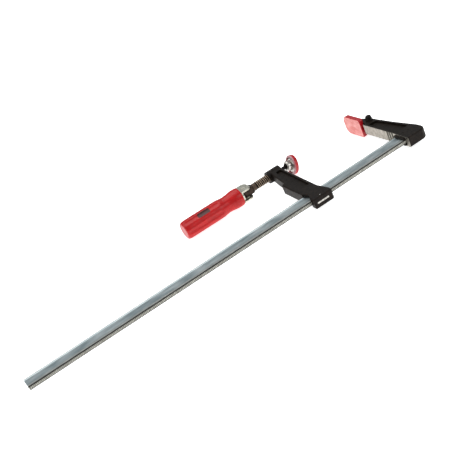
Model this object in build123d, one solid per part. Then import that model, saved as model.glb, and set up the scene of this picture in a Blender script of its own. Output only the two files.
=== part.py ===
from build123d import *
import os
from math import sqrt

# F clamp, all sizes in mm. X runs along the bar towards the fixed jaw, Y runs from
# the bar to the jaw tips, and Z is across the clamp's thickness. The origin is on
# the bare gripping face of the fixed jaw, halfway through its thickness.

# Driving dimensions: overall
bar_reach = 645.0          # bar from the gripping face to its free end
throat = 120.0             # bar edge to spindle axis
face_offset = 45.0         # bar edge to the origin
casting_thick = 16.6       # thickness of both castings
arm_face_x = -148.5        # jaw side of the sliding arm at the bar, where it stands at rest

# Profile bar
bar_width = 25.0
bar_thick = 6.8
bar_corner = 1.5
hollow_depth = 0.5         # shallow rolled hollow in both wide faces
hollow_slope = 1.0
back_rail = 5.0
front_rail = 3.0

# Fixed jaw
jaw_root_depth = 35.0      # along X, behind the gripping face, at the bar
jaw_mid_depth = 27.5
jaw_neck_depth = 21.5      # at the foot of the pad
jaw_tip_depth = 7.0
jaw_heel = 8.5             # casting past the back edge of the bar
jaw_corner = 11.0
jaw_overhang = 13.5        # jaw tip past the spindle axis
bar_in_jaw = 24.0
slot_clearance = 0.05
lip_length = 3.0           # cast lips over and under the bar
pad_length = 44.0
pad_width = 28.0
pad_thick = 4.2
pad_tip_radius = 9.0
pad_root_radius = 2.0
pad_relief_width = 8.0     # step between the gripping face and the pad's foot
vee_count = 3
vee_pitch = 6.0
vee_depth = 2.0
vee_start = 7.0            # bar edge to the first vee's centre
stud_foot = 6.5            # radius of the cast bosses beside the pad
stud_top = 4.5
stud_height = 8.2
stud_round = 2.4
stud_hole = 1.4
stud_offset = 5.5          # pad's foot to the bosses' axis
stud_setback = 14.6        # gripping face to the bosses' axis
edge_round = 2.2           # rounded edges of both castings
web_recess = 3.2           # depth of the hollows beside the web
flange = 4.5               # width of the flanges around the hollows
jaw_pin_radius = 2.0
jaw_pin_gap = 10.0         # between the two jaw pins
pin_sink = 0.3             # pins end this far under the surface

# Caps
cap_wall = 1.8
cap_lip = 2.5              # inward lip behind the pad
plate_cap_lip = 1.3        # inward lip behind the dish
cap_lip_thick = 1.2
cap_round = 1.2            # outer edges of the soft caps
cap_clearance = 0.02
arm_gap = 0.4              # between the soft cap and the casting

# Sliding arm
guide_length = 30.0        # along the bar
guide_height = 58.0        # bar edge to the step
step = 8.0
neck_width = 18.0          # arm at the boss
face_rake = 4.5            # jaw side of the arm leans forward to the boss
arm_toe = 4.0              # jaw side of the arm flares forward behind the bar
slide_clearance = 0.25
bridge = 9.2               # casting behind the bar
guide_corner = 2.2
toe_corner = 4.5
boss_radius = 9.9
boss_length = 24.0
boss_front = 0.5           # boss proud of the arm on the jaw side
cheek_notch_radius = 15.0
cheek_notch_depth = 5.5
recess_low = 14.0          # bar edge to the hollow's lower end
recess_high = 14.0         # spindle axis to the hollow's upper end
insert_length = 20.0
insert_thick = 2.4
insert_pin_radius = 1.25
insert_fit = 0.02

# Spindle
thread_radius = 6.5
thread_clearance = 0.1
thread_back = 24.5         # thread that stands out behind the boss
thread_front = 0.5         # thread that stands out in front of the boss
thread_chamfer = 1.0
neck_radius = 6.15
neck_length = 6.5
tongue_thick = 12.0
pivot_setback = 13.5       # round neck to pivot axis, flat all the way
ball_radius = 5.5
ball_neck_radius = 3.0
ball_from_boss = 13.5      # boss to ball centre, at rest
journal_radius = 2.0
journal_depth = 4.0
journal_clearance = 0.03

# Pressure plate
plate_droop = 16.0         # degrees, how far the loose plate hangs forward at rest
cup_wall = 1.0
cup_clearance = 0.05
cup_grip = 1.9             # cup past the ball's equator
cup_reach = 4.6            # cup in front of the ball's centre
hub_radius = 8.2
hub_back = 1.8             # hub behind the ball's centre
hub_chamfer = 0.8
dish_radius = 14.0
dish_rim = 3.0
dish_thick = 1.6
dish_depth = 5.0           # height of the dish's cone
plate_front = 11.2         # ball centre to the dish's flat front

# Folding handle
ear_thick = 2.7
ear_width = 25.0
ear_reach = 8.5            # ears past the pivot axis
ear_corner = 8.0
washer_thick = 1.0
washer_radius = 6.2
washer_gap = 0.05
pivot_radius = 3.0
pivot_clearance = 0.05
pivot_head_radius = 4.8
pivot_head = 1.0
pivot_head_round = 0.8
base_setback = 7.2         # pivot axis to the fork's base
base_thick = 2.8
tang_radius = 3.5
tang_length = 62.0
barb_radius = 4.2
barb_length = 5.0
barb_end = 2.0             # tang's end to the first barb
barb_pitch = 12.0
barb_count = 4
grip_length = 105.0
grip_body_radius = 15.2
grip_waist_radius = 13.4
grip_collar_radius = 15.2
grip_collar = 7.0          # collar end to the widest place of the collar
grip_collar_round = 1.0
grip_waist = 26.0          # collar end to the waist
grip_shoulder = 42.0       # collar end to the full body
grip_end_radius = 13.8
grip_end_round = 3.0
flute_count = 6
flute_depth = 1.3
flute_radius = 11.0

# Modelling aids
margin = 1.0               # how far a cut runs past what it cuts
tiny = 1e-4                # sizes that differ by less are the same

# Derived places
bar_y = -face_offset - bar_width / 2
spindle_y = throat - face_offset
half = casting_thick / 2
bar_half = bar_width / 2
boss_front_x = arm_face_x + face_rake + boss_front
boss_back_x = boss_front_x - boss_length
guide_back_x = arm_face_x - guide_length
ball_x = boss_front_x + ball_from_boss
thread_back_x = boss_back_x - thread_back
neck_back_x = thread_back_x - neck_length
pivot_x = neck_back_x - pivot_setback
tip_y = spindle_y + jaw_overhang
pad_low_y = tip_y - pad_length
heel_y = bar_y - bar_half - jaw_heel
pad_relief_depth = pad_thick + arm_gap
stud_y = pad_low_y - stud_offset
insert_x = arm_face_x - guide_length / 2
back_y = bar_y - bar_half - bridge
insert_pin_y = back_y + bridge / 2
ball_face_x = ball_x - sqrt(ball_radius ** 2 - ball_neck_radius ** 2)
fork_half = tongue_thick / 2 + washer_thick + 2 * washer_gap


# A flat outline in X and Y, made into a solid centred on Z = 0
def prism(points, thickness, rounding=0.0):
    face = make_face(Polyline(*points, close=True))
    if rounding:
        face = fillet(face.vertices(), rounding)
    return extrude(face, thickness / 2, both=True)


# The rims of the flat faces at plus and minus z_level, rounded
def soften(solid, z_level, radius):
    rims = [e for e in solid.edges() if abs(abs(e.center().Z) - z_level) < tiny]
    return fillet(rims, radius)


# A round rod along X
def rod(radius, start_x, end_x, y=0.0):
    return Pos((start_x + end_x) / 2, y, 0) * Rot(0, 90, 0) * Cylinder(radius, abs(end_x - start_x))


# A box between two corners
def block(low, high):
    size = [b - a for a, b in zip(low, high)]
    middle = [(a + b) / 2 for a, b in zip(low, high)]
    return Pos(*middle) * Box(*size)


# A solid of revolution about X, from points of X and radius
def turned(points):
    return revolve(make_face(Polyline(*points, close=True)), Axis.X)


def profile_bar():
    low, high = -bar_half, bar_half
    top, floor = bar_thick / 2, bar_thick / 2 - hollow_depth
    upper = [
        (low, top), (low + back_rail, top), (low + back_rail + hollow_slope, floor),
        (high - front_rail - hollow_slope, floor), (high - front_rail, top), (high, top),
    ]
    lower = [(y, -z) for y, z in reversed(upper)]
    section = make_face(Polyline(*upper, *lower, close=True))
    corners = [v for v in section.vertices() if abs(abs(v.X) - bar_half) < tiny]
    section = fillet(corners, bar_corner)
    bar = extrude(Plane.YZ * section, bar_reach + bar_in_jaw)
    bar = Pos(-bar_reach, bar_y, 0) * bar
    for x in jaw_pin_places():
        bar -= Pos(x, bar_y, 0) * Cylinder(jaw_pin_radius, casting_thick)
    return bar


def jaw_pin_places():
    middle = bar_in_jaw / 2
    return [middle - jaw_pin_gap / 2, middle + jaw_pin_gap / 2]


# The pad's rounded outline, seen along X, made solid between two X values
def pad_prism(grow, low_x, high_x):
    width = pad_width + 2 * grow
    outline = make_face(Polyline(
        (pad_low_y - grow, -width / 2), (tip_y + grow, -width / 2),
        (tip_y + grow, width / 2), (pad_low_y - grow, width / 2), close=True))
    tip = [v for v in outline.vertices() if v.X > spindle_y]
    outline = fillet(tip, pad_tip_radius + grow)
    root = outline.vertices().group_by(Axis.X)[0]
    outline = fillet(root, max(pad_root_radius + grow, pad_root_radius / 2))
    return Pos(low_x, 0, 0) * extrude(Plane.YZ * outline, high_x - low_x)


def jaw_outline():
    return [
        (-2 * edge_round, heel_y), (jaw_root_depth, heel_y), (jaw_root_depth, bar_y),
        (jaw_mid_depth, bar_y + face_offset), (jaw_neck_depth, stud_y),
        (jaw_tip_depth, tip_y - pad_thick), (-2 * edge_round, tip_y - pad_thick),
    ]


def jaw_stud(side):
    stud = Cone(stud_foot, stud_top, stud_height + edge_round)
    stud = fillet(stud.edges().filter_by(GeomType.CIRCLE).sort_by(Axis.Z)[-1], stud_round)
    stud = Pos(0, 0, (stud_height - edge_round) / 2) * stud
    stud = Rot(0 if side > 0 else 180, 0, 0) * stud
    return Pos(stud_setback, stud_y, side * half) * stud


# The hollow beside the web, which follows the casting's outline inside its flanges
def jaw_hollow():
    high_y = stud_y - 2 * stud_foot
    return prism([
        (flange, bar_y + bar_half), (jaw_root_depth - 2 * flange, bar_y + bar_half),
        (jaw_mid_depth - flange, bar_y + face_offset), (jaw_neck_depth - flange, high_y),
        (flange, high_y),
    ], 2 * web_recess, flange / 2)


def fixed_jaw():
    face = make_face(Polyline(*jaw_outline(), close=True))
    outer = [v for v in face.vertices() if v.X > jaw_mid_depth + tiny and v.Y < bar_y - tiny]
    face = fillet(outer, jaw_corner)
    body = soften(extrude(face, half, both=True), half, edge_round)
    body -= block((-3 * edge_round, heel_y - margin, -half), (0, tip_y, half))
    body += pad_prism(0, 0, pad_thick)
    for side in (1, -1):
        body += jaw_stud(side)
        body -= Pos(0, 0, side * half) * jaw_hollow()
    body -= Pos(stud_setback, stud_y, 0) * Cylinder(stud_hole, 2 * (half + stud_height + margin))
    body += block((-lip_length, bar_y - bar_half, -half + edge_round),
                  (pad_thick, bar_y + bar_half, half - edge_round))
    slot_z = bar_thick / 2 + slot_clearance
    body -= block((-lip_length - margin, bar_y - bar_half - slot_clearance, -slot_z),
                  (bar_in_jaw + slot_clearance, bar_y + bar_half + slot_clearance, slot_z))
    body -= block((-margin, pad_low_y - pad_relief_width, -half - margin),
                  (pad_relief_depth, pad_low_y, half + margin))
    for i in range(vee_count):
        y = bar_y + bar_half + vee_start + i * vee_pitch
        vee = [(-vee_depth, y - 2 * vee_depth), (vee_depth, y), (-vee_depth, y + 2 * vee_depth)]
        body -= prism(vee, casting_thick + margin)
    for x in jaw_pin_places():
        body -= Pos(x, bar_y, 0) * Cylinder(jaw_pin_radius, casting_thick + margin)
    return body


def jaw_pins():
    length = casting_thick - 2 * pin_sink
    pins = [Pos(x, bar_y, 0) * Cylinder(jaw_pin_radius - insert_fit, length) for x in jaw_pin_places()]
    return Compound(children=pins)


def jaw_cap():
    shell = pad_prism(cap_wall, -cap_wall, pad_thick + cap_lip_thick)
    shell = fillet(shell.edges().group_by(Axis.X)[0], cap_round)
    shell = fillet(shell.edges().group_by(Axis.X)[-1], cap_round / 2)
    shell -= pad_prism(cap_clearance, -cap_clearance, pad_thick + cap_clearance)
    shell -= pad_prism(-cap_lip, pad_thick, pad_thick + 2 * cap_lip_thick)
    notch_low = pad_low_y - 2 * cap_wall
    shell -= block((pad_thick, notch_low, -half - arm_gap),
                   (jaw_root_depth, tip_y - cap_wall, half + arm_gap))
    return shell


def arm_outline():
    step_y = bar_y + bar_half + guide_height
    return [
        (guide_back_x, back_y), (arm_face_x + arm_toe, back_y),
        (arm_face_x + arm_toe, bar_y - bar_half), (arm_face_x, bar_y + bar_half),
        (arm_face_x + face_rake, spindle_y), (arm_face_x + face_rake - neck_width, spindle_y),
        (guide_back_x + step, step_y + step / 2),
        (guide_back_x + step / 4, step_y),
    ]


def sliding_arm():
    face = make_face(Polyline(*arm_outline(), close=True))
    back = [v for v in face.vertices() if v.Y < back_y + tiny]
    for corner, radius in zip(sorted(back, key=lambda v: v.X), (guide_corner, toe_corner)):
        face = fillet(min(face.vertices(), key=lambda v: (v.center() - corner.center()).length), radius)
    body = soften(extrude(face, half, both=True), half, edge_round)
    hollow_low = bar_y + bar_half + recess_low
    hollow_high = spindle_y - recess_high
    step_y = bar_y + bar_half + guide_height
    hollow = [
        (guide_back_x + step + flange, hollow_low), (arm_face_x - flange, hollow_low),
        (arm_face_x - flange + face_rake, hollow_high),
        (arm_face_x + face_rake - neck_width + flange, hollow_high),
        (guide_back_x + step + flange, step_y),
    ]
    for side in (1, -1):
        body -= Pos(0, 0, side * half) * prism(hollow, 2 * web_recess, flange / 2)
    body += rod(boss_radius, boss_back_x, boss_front_x, spindle_y)
    body -= rod(thread_radius + thread_clearance, boss_back_x - margin, boss_front_x + margin, spindle_y)
    slide_y = bar_half + slide_clearance
    slide_z = bar_thick / 2 + slide_clearance
    body -= block((guide_back_x - margin, bar_y - slide_y, -slide_z),
                  (arm_face_x + arm_toe + margin, bar_y + slide_y, slide_z))
    notch_x = guide_back_x + cheek_notch_depth - cheek_notch_radius
    body -= Pos(notch_x, bar_y, 0) * Cylinder(cheek_notch_radius, casting_thick + margin)
    body -= insert_block(insert_fit, margin)
    body -= Pos(insert_x, insert_pin_y, 0) * Cylinder(insert_pin_radius, casting_thick + margin)
    return body


def insert_block(grow, proud):
    reach_x = insert_length / 2 + grow
    reach_z = insert_thick / 2 + grow
    return block((insert_x - reach_x, back_y - proud, -reach_z),
                 (insert_x + reach_x, bar_y - bar_half - slide_clearance + proud, reach_z))


def grip_insert():
    insert = insert_block(0, 0)
    return insert - Pos(insert_x, insert_pin_y, 0) * Cylinder(insert_pin_radius, casting_thick)


def insert_pin():
    length = casting_thick - 2 * pin_sink
    return Pos(insert_x, insert_pin_y, 0) * Cylinder(insert_pin_radius - insert_fit, length)


def spindle():
    front_x = boss_front_x + thread_front
    body = rod(thread_radius, thread_back_x, front_x, spindle_y)
    body = chamfer(body.edges().filter_by(GeomType.CIRCLE), thread_chamfer)
    body += rod(neck_radius, neck_back_x, thread_back_x + thread_chamfer, spindle_y)
    body += rod(ball_neck_radius, front_x - margin, ball_face_x - journal_clearance, spindle_y)
    body += rod(journal_radius, front_x, ball_face_x + journal_depth, spindle_y)
    tongue = Pos(pivot_x, 0, 0) * Cylinder(neck_radius, tongue_thick)
    tongue += block((pivot_x, -neck_radius, -tongue_thick / 2), (neck_back_x, neck_radius, tongue_thick / 2))
    tongue -= Pos(pivot_x, 0, 0) * Cylinder(pivot_radius + pivot_clearance, 2 * tongue_thick)
    return body + Pos(0, spindle_y, 0) * tongue


def spindle_ball():
    ball = Pos(ball_x, spindle_y, 0) * Sphere(ball_radius)
    ball -= block((ball_x - 2 * ball_radius, spindle_y - ball_radius, -ball_radius),
                  (ball_face_x, spindle_y + ball_radius, ball_radius))
    return ball - rod(journal_radius + journal_clearance, ball_face_x - margin,
                      ball_face_x + journal_depth + journal_clearance, spindle_y)


# A solid drawn about the ball's centre, put in place at the plate's rest angle
def at_ball(solid):
    return Pos(ball_x, spindle_y, 0) * Rot(0, plate_droop, 0) * solid


def ball_cup():
    inner = ball_radius + cup_clearance
    cup = Sphere(inner + cup_wall) - Sphere(inner)
    reach = inner + cup_wall + margin
    cup -= block((-reach, -reach, -reach), (-cup_grip, reach, reach))
    cup -= block((cup_reach, -reach, -reach), (reach, reach, reach))
    return at_ball(cup)


def plate_socket():
    cavity = ball_radius + 2 * cup_clearance + cup_wall
    hub = rod(hub_radius, -hub_back, plate_front - dish_thick)
    rim = hub.edges().filter_by(GeomType.CIRCLE).sort_by(Axis.X)[0]
    hub = chamfer(rim, hub_chamfer)
    return at_ball(hub - Sphere(cavity))


def plate_dish():
    back_x = plate_front - dish_depth
    rim_x = plate_front - dish_rim
    outside = [
        (back_x, hub_radius), (back_x, hub_radius + dish_thick), (rim_x, dish_radius),
        (plate_front, dish_radius), (plate_front, 0), (plate_front - dish_thick, 0),
        (plate_front - dish_thick, hub_radius),
    ]
    return at_ball(turned(outside))


def plate_cap():
    rim_x = plate_front - dish_rim
    slope = (dish_radius - hub_radius - dish_thick) / (dish_depth - dish_rim)
    lip_x = rim_x - plate_cap_lip / slope
    skin = cap_clearance
    shell = [
        (plate_front + skin, 0), (plate_front + cap_wall, 0),
        (plate_front + cap_wall, dish_radius + cap_wall), (rim_x - cap_wall, dish_radius + cap_wall),
        (lip_x - cap_wall, dish_radius - plate_cap_lip), (lip_x - skin, dish_radius - plate_cap_lip),
        (rim_x - skin, dish_radius + skin), (plate_front + skin, dish_radius + skin),
    ]
    cap = turned(shell)
    rims = [e for e in cap.edges().filter_by(GeomType.CIRCLE)
            if abs(e.radius - dish_radius - cap_wall) < tiny]
    return at_ball(fillet(rims, cap_round))


# A solid drawn about the handle's pivot, put in place
def at_pivot(solid):
    return Pos(pivot_x, spindle_y, 0) * solid


def handle_bracket():
    ear_face = make_face(Polyline(
        (-base_setback - base_thick, -ear_width / 2), (ear_reach, -ear_width / 2),
        (ear_reach, ear_width / 2), (-base_setback - base_thick, ear_width / 2), close=True))
    ear_face = fillet([v for v in ear_face.vertices() if v.X > 0], ear_corner)
    ear = extrude(ear_face, ear_thick)
    base = rod(ear_width / 2, -base_setback - base_thick, -base_setback)
    fork = base & block((-ear_width, -ear_width, -fork_half - ear_thick), (0, ear_width, fork_half + ear_thick))
    for side in (0, 180):
        fork += Rot(side, 0, 0) * Pos(0, 0, fork_half) * ear
    fork -= Cylinder(pivot_radius + insert_fit, 4 * fork_half)
    fork -= rod(tang_radius + insert_fit, -base_setback - 2 * base_thick, 0)
    return at_pivot(fork)


# The barbs' sawtooth rings, which bite into the wood
def barbs():
    rings = []
    for i in range(barb_count):
        tip_x = barb_end - base_setback - tang_length + i * barb_pitch
        foot_x = tip_x + barb_length
        rings.append(turned([(tip_x, 0), (tip_x, tang_radius), (foot_x, barb_radius), (foot_x, 0)]))
    return rings


def handle_tang():
    tang = rod(tang_radius, -base_setback - tang_length, -base_setback)
    for ring in barbs():
        tang += ring
    return at_pivot(tang)


def pivot_pin():
    reach = fork_half + ear_thick
    pin = Cylinder(pivot_radius, 2 * reach)
    for side in (1, -1):
        pin += Pos(0, 0, side * (reach + pivot_head / 2)) * Cylinder(pivot_head_radius, pivot_head)
    heads = [e for e in pin.edges().filter_by(GeomType.CIRCLE)
             if abs(abs(e.center().Z) - reach - pivot_head) < tiny]
    return at_pivot(fillet(heads, pivot_head_round))


def pivot_washers():
    washer = Cylinder(washer_radius, washer_thick) - Cylinder(pivot_radius + insert_fit, 3 * washer_thick)
    offset = fork_half - washer_thick / 2
    return Compound(children=[at_pivot(Pos(0, 0, side * offset) * washer) for side in (1, -1)])


def grip_outline():
    collar_x = -base_setback - base_thick
    end_x = collar_x - grip_length
    rim_radius = grip_collar_radius - grip_collar_round
    shoulder_x = collar_x - grip_shoulder
    crown_x = end_x + 3 * grip_end_round
    end_radius = grip_end_radius - grip_end_round
    return [
        Line((collar_x, 0), (collar_x, rim_radius)),
        Spline((collar_x, rim_radius), (collar_x - grip_collar, grip_collar_radius),
               (collar_x - grip_waist, grip_waist_radius), (shoulder_x, grip_body_radius),
               tangents=[(-1, 1), (-1, 0)]),
        Line((shoulder_x, grip_body_radius), (crown_x, grip_body_radius)),
        Spline((crown_x, grip_body_radius), (end_x + grip_end_round / 3, grip_end_radius),
               (end_x, end_radius), tangents=[(-1, 0), (0, -1)]),
        Line((end_x, end_radius), (end_x, 0)),
        Line((end_x, 0), (collar_x, 0)),
    ]


def handle_grip():
    collar_x = -base_setback - base_thick
    grip = revolve(make_face(grip_outline()), Axis.X)
    flute_axis = grip_body_radius - flute_depth + flute_radius
    flute = rod(flute_radius, collar_x - grip_length - margin, collar_x - grip_shoulder, flute_axis)
    flute += Pos(collar_x - grip_shoulder, flute_axis, 0) * Sphere(flute_radius)
    for i in range(flute_count):
        grip -= Rot((i + 0.5) * 360 / flute_count, 0, 0) * flute
    grip -= rod(tang_radius + insert_fit, -base_setback - tang_length - margin, collar_x)
    for ring in barbs():
        grip -= ring
    return at_pivot(grip)


makers = [
    profile_bar, fixed_jaw, jaw_pins, jaw_cap, sliding_arm, grip_insert, insert_pin, spindle,
    spindle_ball, ball_cup, plate_socket, plate_dish, plate_cap, handle_bracket, handle_tang,
    pivot_pin, pivot_washers, handle_grip,
]

os.makedirs("parts", exist_ok=True)
for maker in makers:
    export_step(maker(), f"parts/{maker.__name__}.step")
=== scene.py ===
import math

import bpy
from mathutils import Matrix, Vector


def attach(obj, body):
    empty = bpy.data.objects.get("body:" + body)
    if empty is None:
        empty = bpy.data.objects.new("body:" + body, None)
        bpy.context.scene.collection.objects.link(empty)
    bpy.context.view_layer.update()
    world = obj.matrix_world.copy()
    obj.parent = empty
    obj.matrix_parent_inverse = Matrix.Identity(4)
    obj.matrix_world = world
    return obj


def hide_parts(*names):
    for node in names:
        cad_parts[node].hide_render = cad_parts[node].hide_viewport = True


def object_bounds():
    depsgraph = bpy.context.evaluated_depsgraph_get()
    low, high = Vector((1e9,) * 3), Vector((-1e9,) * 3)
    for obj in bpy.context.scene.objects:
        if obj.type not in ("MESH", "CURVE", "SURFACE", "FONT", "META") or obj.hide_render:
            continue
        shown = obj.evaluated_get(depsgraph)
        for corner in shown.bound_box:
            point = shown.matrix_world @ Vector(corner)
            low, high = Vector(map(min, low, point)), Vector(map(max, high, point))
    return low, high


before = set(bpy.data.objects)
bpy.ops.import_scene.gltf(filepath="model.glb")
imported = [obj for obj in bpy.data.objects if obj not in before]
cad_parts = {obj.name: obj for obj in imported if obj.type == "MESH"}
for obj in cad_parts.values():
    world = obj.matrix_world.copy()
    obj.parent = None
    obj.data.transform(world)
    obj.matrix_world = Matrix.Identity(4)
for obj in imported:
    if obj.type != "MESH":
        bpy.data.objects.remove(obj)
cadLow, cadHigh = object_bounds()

mm = 0.001
tiny = 1e-4


# Colour and node helpers

def linearColour(hexText):
    parts = [int(hexText[i:i + 2], 16) / 255 for i in (1, 3, 5)]
    return tuple(c / 12.92 if c <= 0.04045 else ((c + 0.055) / 1.055) ** 2.4 for c in parts) + (1.0,)


# Inputs go by name, or as a plain row in the node's own order; a node stands for its first output in use
def addNode(tree, kind, settings=None, inputs=()):
    made = tree.nodes.new(kind)
    for name, value in (settings or {}).items():
        setattr(made, name, value)
    for name, value in inputs.items() if isinstance(inputs, dict) else enumerate(inputs):
        if isinstance(value, bpy.types.Node):
            value = next(socket for socket in value.outputs if socket.enabled)
        if isinstance(value, bpy.types.NodeSocket):
            tree.links.new(value, made.inputs[name])
        else:
            made.inputs[name].default_value = value
    return made


def newMaterial(name):
    material = bpy.data.materials.new(name)
    material.use_nodes = True
    material.node_tree.nodes.clear()
    return material, material.node_tree


# Object coordinates in millimetres, stretched as asked
def millimetres(tree, stretch=(1, 1, 1), shift=(0, 0, 0)):
    place = addNode(tree, "ShaderNodeTexCoord")
    scale = tuple(s / mm for s in stretch)
    return addNode(tree, "ShaderNodeMapping", inputs={
        0: place.outputs["Object"], "Location": shift, "Scale": scale})


# An uneven pattern, from 0 to 1, whose lumps are about sizeMm across
def mottle(tree, sizeMm, stretch=(1, 1, 1), detail=3.0, roughness=0.55, shift=(0, 0, 0)):
    return addNode(tree, "ShaderNodeTexNoise", inputs={
        "Vector": millimetres(tree, stretch, shift), "Scale": 1 / sizeMm,
        "Detail": detail, "Roughness": roughness})


# Colour runs from the look's dark tone to its light one as share rises. Each row of relief is a
# pattern, its depth in millimetres and its strength, and lies on the row before
def finishMaterial(tree, inputs, look=None, share=None, relief=()):
    inputs = dict(inputs)
    if look:
        inputs["Base Color"] = addNode(tree, "ShaderNodeMix", {"data_type": "RGBA"}, {
            0: share, 6: linearColour(look["dark"]), 7: linearColour(look["light"])})
    for height, depthMm, strength in relief:
        heights = {"Height": height, "Distance": depthMm * mm, "Strength": strength}
        if "Normal" in inputs:
            heights["Normal"] = inputs["Normal"]
        inputs["Normal"] = addNode(tree, "ShaderNodeBump", inputs=heights)
    shader = addNode(tree, "ShaderNodeBsdfPrincipled", inputs=inputs)
    addNode(tree, "ShaderNodeOutputMaterial", inputs={"Surface": shader})


# Materials

zincLook = {"light": "#B9C0C1", "dark": "#8B989C", "mottle": 9.0, "streak": 0.7, "grain": 0.35}


def zincPlatedSteel():
    # bright zinc over cold-rolled steel: soft grey-blue clouds, fine roll lines, satin glints
    material, tree = newMaterial("zincPlatedSteel")
    clouds = mottle(tree, zincLook["mottle"], (0.35, 1, 1), 4)
    streaks = mottle(tree, zincLook["streak"], (0.03, 1, 1), 2)
    grain = mottle(tree, zincLook["grain"], detail=1)
    cloudPart = addNode(tree, "ShaderNodeMapRange", inputs=(clouds, 0.35, 0.65, 0, 0.75))
    streakPart = addNode(tree, "ShaderNodeMapRange", inputs=(streaks, 0.3, 0.7, 0, 0.25))
    share = addNode(tree, "ShaderNodeMath", {"operation": "ADD"}, (cloudPart, streakPart))
    uneven = addNode(tree, "ShaderNodeMath", {"operation": "ADD"}, (clouds, streaks))
    finishMaterial(tree, {
        "Metallic": 1.0,
        "Roughness": addNode(tree, "ShaderNodeMapRange", inputs=(uneven, 0.7, 1.3, 0.3, 0.46))},
        look=zincLook, share=share, relief=[(grain, 0.012, 0.5), (streaks, 0.02, 0.5)])
    return material


serrationLook = {"light": "#B0AFA7", "dark": "#8A8982"}


def zincPlatedTeeth():
    # the crests of the rolled teeth: warmer and greyer than the wide faces, dulled by handling
    material, tree = newMaterial("zincPlatedTeeth")
    clouds = mottle(tree, 3.0, detail=3)
    tone = addNode(tree, "ShaderNodeMapRange", inputs=(clouds, 0.35, 0.6))
    finishMaterial(tree, {
        "Metallic": 1.0,
        "Roughness": addNode(tree, "ShaderNodeMapRange", inputs=(clouds, 0.3, 0.7, 0.34, 0.5))},
        look=serrationLook, share=tone, relief=[(mottle(tree, 0.4, detail=2), 0.015, 0.6)])
    return material


hollowShadeLook = {"light": "#67645C", "dark": "#45433E"}


def paintedShadeInHollows():
    # painted shade in the roots of the bar's teeth and on the jaw's vee flanks: dark, brownish grey, hardly
    # shiny
    material, tree = newMaterial("paintedShadeInHollows")
    clouds = mottle(tree, 1.5, detail=3)
    tone = addNode(tree, "ShaderNodeMapRange", inputs=(clouds, 0.35, 0.6))
    finishMaterial(tree, {
        "Metallic": 0.8,
        "Roughness": addNode(tree, "ShaderNodeMapRange", inputs=(clouds, 0.3, 0.7, 0.5, 0.65))},
        look=hollowShadeLook, share=tone)
    return material


cornerReflectionLook = {"light": "#2E2C29", "dark": "#191715"}


def paintedReflectionCorner():
    # the rolled corners painted near-black as a dark reflection of the room: thin dark stripes
    material, tree = newMaterial("paintedReflectionCorner")
    clouds = mottle(tree, 2.5, (0.1, 1, 1), 3)
    tone = addNode(tree, "ShaderNodeMapRange", inputs=(clouds, 0.35, 0.65))
    finishMaterial(tree, {
        "Metallic": 0.4,
        "Roughness": addNode(tree, "ShaderNodeMapRange", inputs=(clouds, 0.3, 0.7, 0.5, 0.62))},
        look=cornerReflectionLook, share=tone)
    return material


railHighlightLook = {"light": "#D3D4CE", "dark": "#A9ACA8"}


def railHighlightZinc():
    # the flat rail tops: zinc painted brighter and warmer as a highlight, glossier, with fine lengthwise
    # scratches
    material, tree = newMaterial("railHighlightZinc")
    scratches = mottle(tree, 0.4, (0.03, 1, 1), 2)
    tone = addNode(tree, "ShaderNodeMapRange", inputs=(scratches, 0.35, 0.65))
    finishMaterial(tree, {
        "Metallic": 1.0,
        "Roughness": addNode(tree, "ShaderNodeMapRange", inputs=(scratches, 0.3, 0.7, 0.24, 0.38))},
        look=railHighlightLook, share=tone, relief=[(scratches, 0.02, 0.5)])
    return material


castLook = {"light": "#201914", "dark": "#0E0A08", "sand": 0.9, "lump": 4.5, "fine": 0.35}


def blackPaintedMalleableIron():
    # stove paint over a sand casting: near-black, faintly warm, the sand's grain standing through
    material, tree = newMaterial("blackPaintedMalleableIron")
    sand = mottle(tree, castLook["sand"], detail=4, roughness=0.6)
    lumps = mottle(tree, castLook["lump"], detail=2)
    fine = mottle(tree, castLook["fine"], detail=1)
    tone = addNode(tree, "ShaderNodeMapRange", inputs=(lumps, 0.3, 0.7))
    finishMaterial(tree, {
        "Roughness": addNode(tree, "ShaderNodeMapRange", inputs=(sand, 0.3, 0.7, 0.4, 0.56)),
        "Specular IOR Level": 0.1},
        look=castLook, share=tone, relief=[(lumps, 0.25, 0.7), (sand, 0.16, 0.8), (fine, 0.03, 0.5)])
    return material


machinedLook = {"light": "#B3ADA3", "dark": "#57524B", "cut": 0.6}


def machinedMalleableIron():
    # bare milled iron: light grey, slightly warm, with cutter lines across the jaw and darker graphite specks
    material, tree = newMaterial("machinedMalleableIron")
    cuts = mottle(tree, machinedLook["cut"], (1, 1, 0.05), 1)
    patches = mottle(tree, 3.5, detail=4, roughness=0.65)
    patchPart = addNode(tree, "ShaderNodeMapRange", inputs=(patches, 0.3, 0.7, 0, 0.4))
    cutPart = addNode(tree, "ShaderNodeMapRange", inputs=(cuts, 0.4, 0.6, 0, 0.6))
    share = addNode(tree, "ShaderNodeMath", {"operation": "ADD"}, (patchPart, cutPart))
    finishMaterial(tree, {
        "Metallic": 1.0,
        "Roughness": addNode(tree, "ShaderNodeMapRange", inputs=(patches, 0.3, 0.7, 0.36, 0.52))},
        look=machinedLook, share=share, relief=[(patches, 0.03, 0.4), (cuts, 0.03, 0.7)])
    return material


pvcLook = {"dark": "#970812", "light": "#B31420"}


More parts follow.
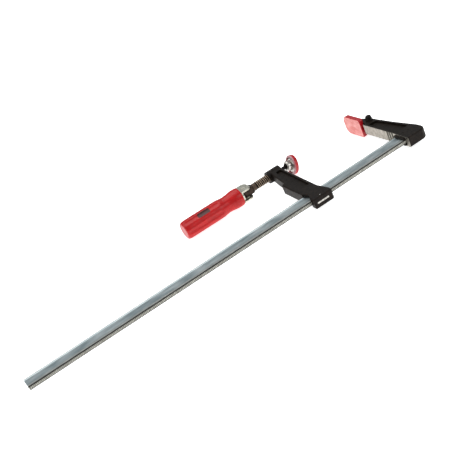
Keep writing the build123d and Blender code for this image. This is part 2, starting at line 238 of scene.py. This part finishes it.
def softRedPvc():
    # dip-moulded soft PVC: strong even red, a little light in its depth, soft gloss over a faint ripple
    material, tree = newMaterial("softRedPvc")
    ripple = mottle(tree, 3.2, detail=2)
    skin = mottle(tree, 0.5, detail=1)
    tone = addNode(tree, "ShaderNodeMapRange", inputs=(ripple, 0.3, 0.7))
    finishMaterial(tree, {
        "Roughness": addNode(tree, "ShaderNodeMapRange", inputs=(ripple, 0.3, 0.7, 0.24, 0.34)),
        "IOR": 1.53,
        "Specular IOR Level": 0.35,
        "Subsurface Weight": 0.12,
        "Subsurface Radius": (1.0, 0.2, 0.1),
        "Subsurface Scale": 1.5 * mm,
        "Coat Weight": 0.15,
        "Coat Roughness": 0.22},
        look=pvcLook, share=tone, relief=[(ripple, 0.06, 0.4), (skin, 0.008, 0.4)])
    return material


glareLook = {"dark": "#C4635E", "light": "#DD9B95"}


def glarePaleRedPvc():
    # the cap's gripping face, painted pale and chalky as the reflection of the bright light it faces: dusty
    # salmon, no gloss
    material, tree = newMaterial("glarePaleRedPvc")
    glareBlotches = mottle(tree, 6.0, (1, 0.5, 1), 4, 0.6)
    tone = addNode(tree, "ShaderNodeMapRange", inputs=(glareBlotches, 0.35, 0.65))
    finishMaterial(tree, {
        "Roughness": addNode(tree, "ShaderNodeMapRange", inputs=(glareBlotches, 0.3, 0.7, 0.45, 0.6)),
        "Specular IOR Level": 0.4},
        look=glareLook, share=tone, relief=[(glareBlotches, 0.03, 0.4)])
    return material


lacquerLook = {"dark": "#960507", "light": "#C01416", "grain": 0.8}


def redLacqueredHornbeam():
    # close-grained hornbeam under red lacquer: faint lengthwise grain, a soft gloss in narrow bands
    material, tree = newMaterial("redLacqueredHornbeam")
    grain = mottle(tree, lacquerLook["grain"], (0.06, 1, 1), 3)
    clouds = mottle(tree, 9.0, (0.4, 1, 1), 2)
    grainPart = addNode(tree, "ShaderNodeMapRange", inputs=(grain, 0.3, 0.7, 0, 0.5))
    cloudPart = addNode(tree, "ShaderNodeMapRange", inputs=(clouds, 0.3, 0.7, 0, 0.5))
    share = addNode(tree, "ShaderNodeMath", {"operation": "ADD"}, (grainPart, cloudPart))
    finishMaterial(tree, {
        "Roughness": addNode(tree, "ShaderNodeMapRange", inputs=(grain, 0.3, 0.7, 0.3, 0.4)),
        "IOR": 1.5,
        "Specular IOR Level": 0.22,
        "Coat Weight": 0.12,
        "Coat Roughness": 0.16},
        look=lacquerLook, share=share, relief=[(grain, 0.025, 0.4)])
    return material


stampLook = {"light": "#5A120F", "dark": "#380A08"}


def darkStampedInk():
    # hot-stamped dark foil pressed into the lacquer: brown-black, smoother than the wood, worn in small spots
    material, tree = newMaterial("darkStampedInk")
    wear = mottle(tree, 0.9, detail=3)
    tone = addNode(tree, "ShaderNodeMapRange", inputs=(wear, 0.45, 0.75))
    finishMaterial(tree, {
        "Roughness": addNode(tree, "ShaderNodeMapRange", inputs=(wear, 0.3, 0.7, 0.28, 0.42)),
        "Specular IOR Level": 0.3,
        "Coat Weight": 0.1,
        "Coat Roughness": 0.18},
        look=stampLook, share=tone, relief=[(wear, 0.02, 0.4)])
    return material


oxideLook = {"crest": "#A8937F", "flank": "#3A2F28", "rootShade": "#120E0C", "axisY": 75.0, "rootTo": 5.4,
             "crestFrom": 6.1, "crestTo": 6.45}


def blackOxideSteel():
    # rolled thread in oiled black oxide: brown-black flanks darkening to painted shade in the roots, crests
    # lightened in patches, partly rubbed wear and partly a painted highlight
    material, tree = newMaterial("blackOxideSteel")
    fromAxis = millimetres(tree, shift=(0, -oxideLook["axisY"], 0))
    place = addNode(tree, "ShaderNodeSeparateXYZ", inputs={0: fromAxis})
    outY = addNode(tree, "ShaderNodeMath", {"operation": "MULTIPLY"}, (place.outputs[1], place.outputs[1]))
    outZ = addNode(tree, "ShaderNodeMath", {"operation": "MULTIPLY"}, (place.outputs[2], place.outputs[2]))
    squared = addNode(tree, "ShaderNodeMath", {"operation": "ADD"}, (outY, outZ))
    radius = addNode(tree, "ShaderNodeMath", {"operation": "SQRT"}, (squared,))
    patches = mottle(tree, 1.6, detail=4)
    # crest patches: rubbed wear and painted highlight
    atCrest = addNode(tree, "ShaderNodeMapRange", inputs=(radius, oxideLook["crestFrom"], oxideLook["crestTo"]))
    inPatch = addNode(tree, "ShaderNodeMapRange", inputs=(patches, 0.35, 0.6, 0.4, 1))
    wornAndLit = addNode(tree, "ShaderNodeMath", {"operation": "MULTIPLY"}, (atCrest, inPatch))
    # darker towards the thread's root: painted shade
    upFlank = addNode(tree, "ShaderNodeMapRange", inputs=(radius, oxideLook["rootTo"], oxideLook["crestFrom"]))
    base = addNode(tree, "ShaderNodeMix", {"data_type": "RGBA"}, {
        0: upFlank, 6: linearColour(oxideLook["rootShade"]), 7: linearColour(oxideLook["flank"])})
    crestWearAndHighlight = addNode(tree, "ShaderNodeMix", {"data_type": "RGBA"}, {
        0: wornAndLit, 6: base, 7: linearColour(oxideLook["crest"])})
    finishMaterial(tree, {
        "Base Color": crestWearAndHighlight,
        "Metallic": 0.85,
        "Roughness": addNode(tree, "ShaderNodeMapRange", inputs=(wornAndLit, 0, 1, 0.46, 0.34))},
        relief=[(mottle(tree, 0.5, detail=2), 0.03, 0.5)])
    return material


# A small part's finish: soft clouds of two tones and a fine grain
def plainFinish(name, light, dark, grainMm, roughLow, roughHigh, metallic=1.0, stretch=(1, 1, 1)):
    material, tree = newMaterial(name)
    clouds = mottle(tree, 5 * grainMm, detail=3)
    grain = mottle(tree, grainMm, stretch, 2)
    tones = {"dark": dark, "light": light}
    tone = addNode(tree, "ShaderNodeMapRange", inputs=(clouds, 0.35, 0.65))
    finishMaterial(tree, {
        "Metallic": metallic,
        "Roughness": addNode(tree, "ShaderNodeMapRange", inputs=(grain, 0.3, 0.7, roughLow, roughHigh))},
        look=tones, share=tone, relief=[(grain, 0.02, 0.5)])
    return material


# pressed fork steel in thin zinc: silver with a green-grey cast
zincFork = plainFinish("zincPlatedForkSteel", "#D3D0C4", "#ABA89A", 0.7, 0.3, 0.44)
# turned steel of the swivel plate: bright, with fine rings
turnedSteel = plainFinish("brightTurnedSteel", "#C9C4BE", "#948F8A", 0.4, 0.22, 0.36, stretch=(4, 1, 1))
# cut spring steel of the arm's grip insert: pale, dull at its sawn ends
cutSteel = plainFinish("cutSpringSteel", "#C9C6C0", "#97948E", 0.5, 0.34, 0.5)
# natural nylon snap cup: milky, waxy
nylon = plainFinish("naturalNylon", "#DEDBD2", "#CFCBC0", 1.2, 0.4, 0.5, metallic=0.0)
zinc = zincPlatedSteel()
teethZinc = zincPlatedTeeth()
hollowShade = paintedShadeInHollows()
cornerReflection = paintedReflectionCorner()
railHighlight = railHighlightZinc()
blackIron = blackPaintedMalleableIron()
bareIron = machinedMalleableIron()
redPvc = softRedPvc()
glarePvc = glarePaleRedPvc()
redWood = redLacqueredHornbeam()
stampInk = darkStampedInk()
oxide = blackOxideSteel()
# the same black oxide where nothing rubs it and no crest highlight is painted: the tongue in the fork
oxideTongue = plainFinish("blackOxideTongue", "#3A2F28", "#1C1613", 1.6, 0.38, 0.5, metallic=0.85)
# the cap's lip behind the plate, thin soft PVC, painted paler greyish pink as the reflections on its back
lipReflectionPvc = plainFinish("paintedReflectionPvcLip", "#BC8F93", "#93575D", 1.5, 0.32, 0.45, metallic=0.0)
print("materials made")


# Mesh helpers; every size below is in millimetres

def buildPiece(name, points, faces, materials, body, materialOf=None, sharpDegrees=35):
    mesh = bpy.data.meshes.new(name)
    mesh.from_pydata([Vector(p) * mm for p in points], [], faces)
    mesh.validate()
    for material in materials:
        mesh.materials.append(material)
    mesh.polygons.foreach_set("use_smooth", [True] * len(mesh.polygons))
    if materialOf:
        for polygon, which in zip(mesh.polygons, materialOf):
            polygon.material_index = which
    mesh.set_sharp_from_angle(angle=math.radians(sharpDegrees))
    mesh.update()
    piece = bpy.data.objects.new(name, mesh)
    bpy.context.scene.collection.objects.link(piece)
    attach(piece, body)
    return piece


# Rings of equal count joined into a closed skin, with one face at each end
def skinRings(rings):
    count = len(rings[0])
    points = [p for ring in rings for p in ring]
    faces = []
    for i in range(len(rings) - 1):
        for j in range(count):
            k = (j + 1) % count
            faces.append((i * count + j, i * count + k, (i + 1) * count + k, (i + 1) * count + j))
    last = (len(rings) - 1) * count
    faces.append(tuple(range(count - 1, -1, -1)))
    faces.append(tuple(range(last, last + count)))
    return points, faces


def smoothStep(value):
    t = min(1.0, max(0.0, value))
    return t * t * (3 - 2 * t)


# Bar: rolled profile with a toothed back edge

# toothSteps are shares of the pitch and of the tooth's depth
barSize = {"startX": -645.0, "endX": 24.0, "middleY": -57.5, "halfWidth": 12.5, "halfThick": 3.4,
           "corner": 1.5, "backRail": 5.0, "frontRail": 3.0, "slope": 1.0, "hollow": 0.5, "hollowEdge": 3.0,
           "toothPitch": 2.4, "toothDepth": 0.45, "endChamfer": 0.4,
           "toothSteps": ((0, 0), (0.42, 0), (0.55, 1), (0.87, 1)), "toothEdge": 1.3}


def barSection():
    w, t, r = barSize["halfWidth"], barSize["halfThick"], barSize["corner"]
    floor, slope = t - barSize["hollow"], barSize["slope"]
    upper = []
    for i in range(7):
        a = math.pi - i * math.pi / 12
        upper.append((-w + r + r * math.cos(a), t - r + r * math.sin(a)))
    back, front = -w + barSize["backRail"], w - barSize["frontRail"]
    for share in (0, 0.25, 0.5, 0.75, 1):
        upper.append((back + share * slope, t - (t - floor) * smoothStep(share)))
    upper += [(back + barSize["hollowEdge"], floor), (0, floor), (front - barSize["hollowEdge"], floor)]
    for share in (1, 0.75, 0.5, 0.25, 0):
        upper.append((front - share * slope, t - (t - floor) * smoothStep(share)))
    for i in range(7):
        a = math.pi / 2 - i * math.pi / 12
        upper.append((w - r + r * math.cos(a), t - r + r * math.sin(a)))
    lower = [(y, -z) for y, z in reversed(upper)]
    return list(reversed(upper + lower))


def makeBar():
    section = barSection()
    w, t, pitch = barSize["halfWidth"], barSize["halfThick"], barSize["toothPitch"]
    places = [(barSize["startX"], 0, barSize["endChamfer"])]
    x = barSize["startX"] + barSize["endChamfer"]
    while x < barSize["endX"] - pitch:
        for step, depth in barSize["toothSteps"]:
            places.append((x + step * pitch, depth, 0))
        x += pitch
    places.append((barSize["endX"], 0, barSize["endChamfer"]))
    rings = []
    for x, depth, chamfer in places:
        ring = []
        for y, z in section:
            cut = depth * barSize["toothDepth"] * smoothStep(-w + barSize["toothEdge"] - y)
            inY = y * (1 - chamfer / w) + cut
            ring.append((x, barSize["middleY"] + inY, z * (1 - chamfer / t)))
        rings.append(ring)
    points, faces = skinRings(rings)
    count = len(section)
    which = []  # places in finishesOfBar: 0 body, 1 tooth crest, 2 tooth root in painted shade, 3 rolled corner in painted dark reflection, 4 rail top in painted highlight
    for n in range(len(faces) - 2):
        y, z = section[n % count]
        nextY, nextZ = section[(n + 1) % count]
        middleY, middleZ = (y + nextY) / 2, abs(z + nextZ) / 2
        ring = n // count
        atRoot = places[ring][1] + places[ring + 1][1] > 1.5
        if middleZ > t - barSize["corner"] and abs(middleY) > w - barSize["corner"]:
            which.append(3)
        elif middleY < -w + barSize["toothDepth"] + tiny:
            which.append(2 if atRoot else 1)
        elif middleZ > t - tiny:
            which.append(4)
        else:
            which.append(0)
    which += [0, 0]
    finishesOfBar = [zinc, teethZinc, hollowShade, cornerReflection, railHighlight]
    bar = buildPiece("profileBar", points, faces, finishesOfBar, "bar", which)
    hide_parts("profile_bar")


makeBar()
print("bar made")


# Spindle: rolled thread, smooth neck and flattened tongue

# rise, fall and flank are shares of the pitch; endFace is steps and radii from the thread's end
screwSize = {"axisY": 75.0, "pitch": 3.0, "crest": 6.5, "root": 4.9,
             "threadStart": -192.0, "threadEnd": -143.0, "slices": 12, "segments": 56,
             "flank": 0.2, "rise": 0.12, "fall": 0.62,
             "runOutStart": 2.0, "runOutEnd": 1.5, "runOutHeight": 0.5,
             "neckStart": -198.5, "neck": 6.15, "neckChamfer": 0.4, "neckGap": 0.1,
             "endFace": ((-0.02, 5.0), (0.0, 4.6)),
             "ballNeck": 3.0, "ballNeckStart": 0.5, "ballFace": -134.61,
             "tongueEnd": -212.0, "tongueHalf": 6.0, "tongueReach": 6.15, "tongueOverlap": 0.3,
             "tongueBevel": 0.6, "tongueSteps": 24}


def threadRadius(x, turn):
    s = screwSize
    phase = (x / s["pitch"] - turn) % 1.0
    height = smoothStep((phase - s["rise"]) / s["flank"]) - smoothStep((phase - s["fall"]) / s["flank"])
    return s["root"] + (s["crest"] - s["root"]) * height


def makeSpindle():
    s = screwSize
    stations = [(s["neckStart"], s["neck"] - s["neckChamfer"])]
    stations += [(s["neckStart"] + s["neckChamfer"], s["neck"]), (s["threadStart"] - s["neckGap"], s["neck"])]
    stations.append((s["threadStart"], None))  # None stands for the thread's own radius
    steps = round((s["threadEnd"] - s["threadStart"]) * s["slices"] / s["pitch"])
    for i in range(1, steps):
        stations.append((s["threadStart"] + i * s["pitch"] / s["slices"], None))
    stations += [(s["threadEnd"] + shift, radius) for shift, radius in s["endFace"]]
    stations += [(s["threadEnd"] + s["ballNeckStart"], s["ballNeck"]), (s["ballFace"], s["ballNeck"])]
    endRadius = s["root"] + s["runOutHeight"]
    rings = []
    for x, fixed in stations:
        ring = []
        for j in range(s["segments"]):
            turn = j / s["segments"]
            a = 2 * math.pi * turn
            r = threadRadius(x, turn) if fixed is None else fixed
            if fixed is None:
                ends = smoothStep((x - s["threadStart"]) / s["runOutStart"])
                ends *= smoothStep((s["threadEnd"] - x) / s["runOutEnd"])
                r = endRadius + (r - endRadius) * ends
            ring.append((x, s["axisY"] + r * math.cos(a), r * math.sin(a)))
        rings.append(ring)
    points, faces = skinRings(rings)
    screw = buildPiece("spindleScrew", points, faces, [oxide], "spindle")
    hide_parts("spindle")


def makeTongue():
    s = screwSize
    reach, endX = s["tongueReach"], s["neckStart"] + s["tongueOverlap"]
    outline = []
    for i in range(s["tongueSteps"] + 1):
        a = math.pi / 2 + i * math.pi / s["tongueSteps"]
        outline.append((s["tongueEnd"] + reach * math.cos(a), reach * math.sin(a)))
    outline += [(endX, -reach), (endX, reach)]
    bevel, half = s["tongueBevel"], s["tongueHalf"]
    rings = []
    for z, inset in ((-half, bevel), (-half + bevel * 0.3, bevel * 0.3), (-half + bevel, 0),
                     (half - bevel, 0), (half - bevel * 0.3, bevel * 0.3), (half, bevel)):
        share = 1 - inset / reach
        ring = []
        for x, y in outline:
            inX = s["tongueEnd"] + (x - s["tongueEnd"]) * share if x < s["tongueEnd"] else x
            ring.append((inX, s["axisY"] + y * share, z))
        rings.append(ring)
    points, faces = skinRings(rings)
    buildPiece("spindleTongue", points, faces, [oxideTongue], "spindle")


makeSpindle()
makeTongue()
print("spindle made")


# Handle: turned and fluted wood with a stamped panel left blank

gripSize = {"axisY": 75.0, "collarX": -222.0, "length": 105.0,
            "profile": [(0.0, 14.0), (0.5, 14.5), (2.0, 14.85), (4.5, 15.1), (7.0, 15.2), (10.0, 15.1),
                        (16.0, 14.4), (21.0, 13.7), (26.0, 13.4), (31.0, 13.7), (36.0, 14.5), (42.0, 15.2),
                        (96.0, 15.2), (100.0, 14.85), (102.5, 14.25), (104.0, 13.4), (104.8, 12.1),
                        (105.0, 10.8)],
            "collarStations": (0.0, 0.25, 0.5, 1.0, 1.5, 2.0, 3.0),
            "bodyStart": 4, "bodyStep": 0.8, "bodyCount": 121,
            "endStations": (100.8, 101.6, 102.3, 102.9, 103.4, 103.8, 104.1, 104.4, 104.6, 104.8, 104.9,
                            104.97, 105.0),
            "endRings": (0.96, 0.8, 0.5, 0.2), "endDish": 0.25,
            "flutes": 6, "fluteRadius": 11.0, "fluteAxis": 24.9, "fluteStop": 42.0, "blend": 0.18,
            "segments": 240, "panelX": (56.0, 77.5), "panelTurn": 120.0, "panelHalf": 4.3, "panelCorner": 1.6,
            "panelDepth": 0.12, "panelRim": 0.35, "panelSlope": 0.5, "inkTo": 0.1,
            "sharpDegrees": 50}
clearOfFlute = 99.0  # a radius past the wood, where the cutter doesn't reach


# Monotone cubic through the profile's points
def gripRadius(s):
    pts = gripSize["profile"]
    if s <= pts[0][0]:
        return pts[0][1]
    for i in range(len(pts) - 1):
        (x0, r0), (x1, r1) = pts[i], pts[i + 1]
        if s <= x1:
            slopes = []
            for k in (i, i + 1):
                if k == 0 or k == len(pts) - 1:
                    slopes.append((r1 - r0) / (x1 - x0))
                    continue
                before = (pts[k][1] - pts[k - 1][1]) / (pts[k][0] - pts[k - 1][0])
                after = (pts[k + 1][1] - pts[k][1]) / (pts[k + 1][0] - pts[k][0])
                slopes.append(0.0 if before * after <= 0 else 2 * before * after / (before + after))
            h = x1 - x0
            t = (s - x0) / h
            a, b = 2 * t ** 3 - 3 * t ** 2 + 1, t ** 3 - 2 * t ** 2 + t
            c, d = -2 * t ** 3 + 3 * t ** 2, t ** 3 - t ** 2
            return a * r0 + b * h * slopes[0] + c * r1 + d * h * slopes[1]
    return pts[-1][1]


# How far out the ball-ended flute cutter leaves the wood at this place and angle
def fluteFloor(s, angle):
    g = gripSize
    sector = 2 * math.pi / g["flutes"]
    off = angle % sector - sector / 2
    radius = g["fluteRadius"]
    if s < g["fluteStop"]:
        gap = radius ** 2 - (g["fluteStop"] - s) ** 2
        if gap <= 0:
            return clearOfFlute
        radius = math.sqrt(gap)
    inside = radius ** 2 - (g["fluteAxis"] * math.sin(off)) ** 2
    if inside <= 0:
        return clearOfFlute
    return g["fluteAxis"] * math.cos(off) - math.sqrt(inside)


# Distance outside the stamped panel's rounded outline, negative inside it
def panelEdge(s, angle, radius):
    g = gripSize
    middle = sum(g["panelX"]) / 2
    halfLong = (g["panelX"][1] - g["panelX"][0]) / 2 - g["panelCorner"]
    halfWide = g["panelHalf"] - g["panelCorner"]
    along = abs(s - middle) - halfLong
    across = abs(radius * (angle - math.radians(g["panelTurn"]))) - halfWide
    return math.hypot(max(along, 0), max(across, 0)) + min(max(along, across), 0) - g["panelCorner"]


def makeGrip():
    g = gripSize
    count, blend, rim = g["segments"], g["blend"], g["panelRim"]
    stations = list(g["collarStations"])
    stations += [g["bodyStart"] + g["bodyStep"] * i for i in range(g["bodyCount"])]
    stations += g["endStations"]
    stations = sorted({round(s, 3) for s in stations if s <= g["length"]})
    rings, inPanel = [], []
    for s in stations:
        ring = []
        for j in range(count):
            a = 2 * math.pi * j / count
            base = gripRadius(s)
            floor = fluteFloor(s, a + math.pi / g["flutes"])
            gap = max(blend - abs(base - floor), 0) / blend
            r = min(base, floor) - gap * gap * blend / 4
            edge = panelEdge(s, a, r)
            r -= g["panelDepth"] * smoothStep((rim - edge) / g["panelSlope"]) if edge < rim else 0
            inPanel.append(edge < g["inkTo"])
            ring.append((g["collarX"] - s, g["axisY"] + r * math.cos(a), r * math.sin(a)))
        rings.append(ring)
    last = rings[-1]
    for share in g["endRings"]:  # the end face, slightly dished
        inX = g["endDish"] * (1 - share)
        rings.append([(x + inX, g["axisY"] + (y - g["axisY"]) * share, z * share) for x, y, z in last])
        inPanel += [False] * count
    rings = [list(reversed(r)) for r in rings]
    points, faces = skinRings(rings)
    which = []
    for face in faces:
        marks = []
        for v in face[:4]:
            i, j = divmod(v, count)
            marks.append(inPanel[i * count + (count - 1 - j)])
        which.append(1 if len(face) == 4 and all(marks) else 0)
    finishesOfGrip = [redWood, stampInk]
    grip = buildPiece("woodenGrip", points, faces, finishesOfGrip, "handle", which,
                      sharpDegrees=g["sharpDegrees"])
    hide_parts("handle_grip")


makeGrip()
print("handle made")


# CAD pieces that keep their shape and take a finish

plateDroop = 16.0  # degrees, as the plate hangs at rest
machined = {"fromX": -0.05, "toX": 2.1, "toY": 36.4, "facing": -0.3}  # toY is the step under the pad
finishes = {"fixed_jaw": [blackIron, bareIron, hollowShade], "sliding_arm": [blackIron, bareIron],
            "jaw_pins": [blackIron], "jaw_cap": [redPvc, glarePvc], "plate_cap": [redPvc, lipReflectionPvc],
            "grip_insert": [cutSteel], "insert_pin": [cutSteel], "spindle_ball": [oxide],
            "ball_cup": [nylon], "plate_socket": [turnedSteel], "plate_dish": [turnedSteel],
            "handle_bracket": [zincFork], "handle_tang": [zincFork], "pivot_pin": [zincFork],
            "pivot_washers": [zincFork]}
rounded = {"handle_bracket": 0.35, "plate_socket": 0.3, "plate_dish": 0.25}
softening = {"weld": 0.002, "segments": 2, "fromDegrees": 40}


# The gripping face and its vees are machined bare after painting, up to the step at the pad
def isMachined(polygon):
    x, y, z = (c / mm for c in polygon.center)
    inPlace = machined["fromX"] < x < machined["toX"] and y < machined["toY"]
    return inPlace and polygon.normal.x < machined["facing"]


for name, materials in finishes.items():
    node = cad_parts[name]
    node.data.materials.clear()
    for material in materials:
        node.data.materials.append(material)
    if name in rounded:
        weld = node.modifiers.new("joinSeams", "WELD")
        weld.merge_threshold = softening["weld"] * mm
        soft = node.modifiers.new("softEdges", "BEVEL")
        soft.width = rounded[name] * mm
        soft.segments = softening["segments"]
        soft.angle_limit = math.radians(softening["fromDegrees"])
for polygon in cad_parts["fixed_jaw"].data.polygons:
    # the vee flanks take the dark hollow finish as painted shade, so the vees show as stripes
    onFlank = abs(polygon.normal.y) > 0.3
    polygon.material_index = (2 if onFlank else 1) if isMachined(polygon) else 0
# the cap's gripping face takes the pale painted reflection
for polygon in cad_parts["jaw_cap"].data.polygons:
    polygon.material_index = 1 if polygon.normal.x < -0.95 and polygon.center.x < -1.5 * mm else 0
droop = math.radians(plateDroop)
plateFront = Vector((math.cos(droop), 0, -math.sin(droop)))
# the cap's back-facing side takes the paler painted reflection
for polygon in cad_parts["plate_cap"].data.polygons:
    polygon.material_index = 1 if polygon.normal.dot(plateFront) < -0.3 else 0
print("CAD pieces finished")


# Floor, lights and camera

def addArea(name, place, aim, sizeX, sizeY, power, colour="#FFFFFF"):
    light = bpy.data.lights.new(name, "AREA")
    light.shape = "RECTANGLE"
    light.size, light.size_y, light.energy = sizeX, sizeY, power
    light.color = linearColour(colour)[:3]
    lamp = bpy.data.objects.new(name, light)
    bpy.context.scene.collection.objects.link(lamp)
    lamp.location = place
    lamp.rotation_euler = (Vector(aim) - Vector(place)).to_track_quat("-Z", "Y").to_euler()
    return lamp


floorLook = {"dark": "#F4F4F3", "light": "#F7F7F6", "glow": 0.85, "halfSize": 40.0, "below": 0.0002}  # metres


def makeFloor():
    material, tree = newMaterial("whitePaperSweep")
    paper = mottle(tree, 40.0, detail=2)
    tone = addNode(tree, "ShaderNodeMapRange", inputs=(paper, 0.3, 0.7))
    finishMaterial(tree, {
        "Roughness": 0.9,
        "Emission Color": linearColour("#FFFFFF"),
        "Emission Strength": floorLook["glow"]},
        look=floorLook, share=tone)
    size = floorLook["halfSize"]
    mesh = bpy.data.meshes.new("paperSweep")
    level = cadLow.z - floorLook["below"]
    corners = [(-size, -size, level), (size, -size, level), (size, size, level), (-size, size, level)]
    mesh.from_pydata(corners, [], [(0, 1, 2, 3)])
    mesh.materials.append(material)
    floor = bpy.data.objects.new("paperSweep", mesh)
    bpy.context.scene.collection.objects.link(floor)


roomLight = {"colour": "#CDD3D6", "strength": 0.66}


def makeWorld():
    world = bpy.data.worlds.new("studio")
    bpy.context.scene.world = world
    world.use_nodes = True
    world.node_tree.nodes.clear()
    back = addNode(world.node_tree, "ShaderNodeBackground", inputs={
        "Color": linearColour(roomLight["colour"]), "Strength": roomLight["strength"]})
    addNode(world.node_tree, "ShaderNodeOutputWorld", inputs={"Surface": back.outputs[0]})


# eye, aim and clip are in metres, roll in degrees, sensor and lens in millimetres
cameraPlace = {"eye": (-0.6690, -1.1853, 0.6224), "aim": (-0.28107, 0.02031, 0.0), "roll": 24.716,
               "sensor": 36.0, "lens": 76.31, "clip": (0.05, 120.0)}


def makeCamera():
    c = cameraPlace
    eye, aim = Vector(c["eye"]), Vector(c["aim"])
    data = bpy.data.cameras.new("view")
    data.sensor_width, data.lens = c["sensor"], c["lens"]
    data.clip_start, data.clip_end = c["clip"]
    camera = bpy.data.objects.new("view", data)
    bpy.context.scene.collection.objects.link(camera)
    ahead = (aim - eye).normalized()
    right = ahead.cross(Vector((0, 0, 1))).normalized()
    up = right.cross(ahead)
    tilt = math.radians(c["roll"])
    upTilted = up * math.cos(tilt) + right * math.sin(tilt)
    rightTilted = ahead.cross(upTilted)
    turned = Matrix((rightTilted, upTilted, -ahead)).transposed()
    camera.matrix_world = Matrix.Translation(eye) @ turned.to_4x4()
    bpy.context.scene.camera = camera


makeFloor()
makeWorld()
makeCamera()
middle = (-0.25, 0.0, 0.0)
addArea("overheadSoftbox", (-0.3, 0.5, 2.2), middle, 2.6, 2.2, 42)
addArea("sideSoftbox", (0.7, -1.5, 0.95), middle, 0.9, 0.9, 7)
addArea("leftSoftbox", (-2.0, 0.2, 1.0), middle, 1.2, 1.2, 10)
bpy.context.scene.view_settings.view_transform = "Standard"
bpy.context.scene.view_settings.look = "None"
print("stage, lights and camera made")
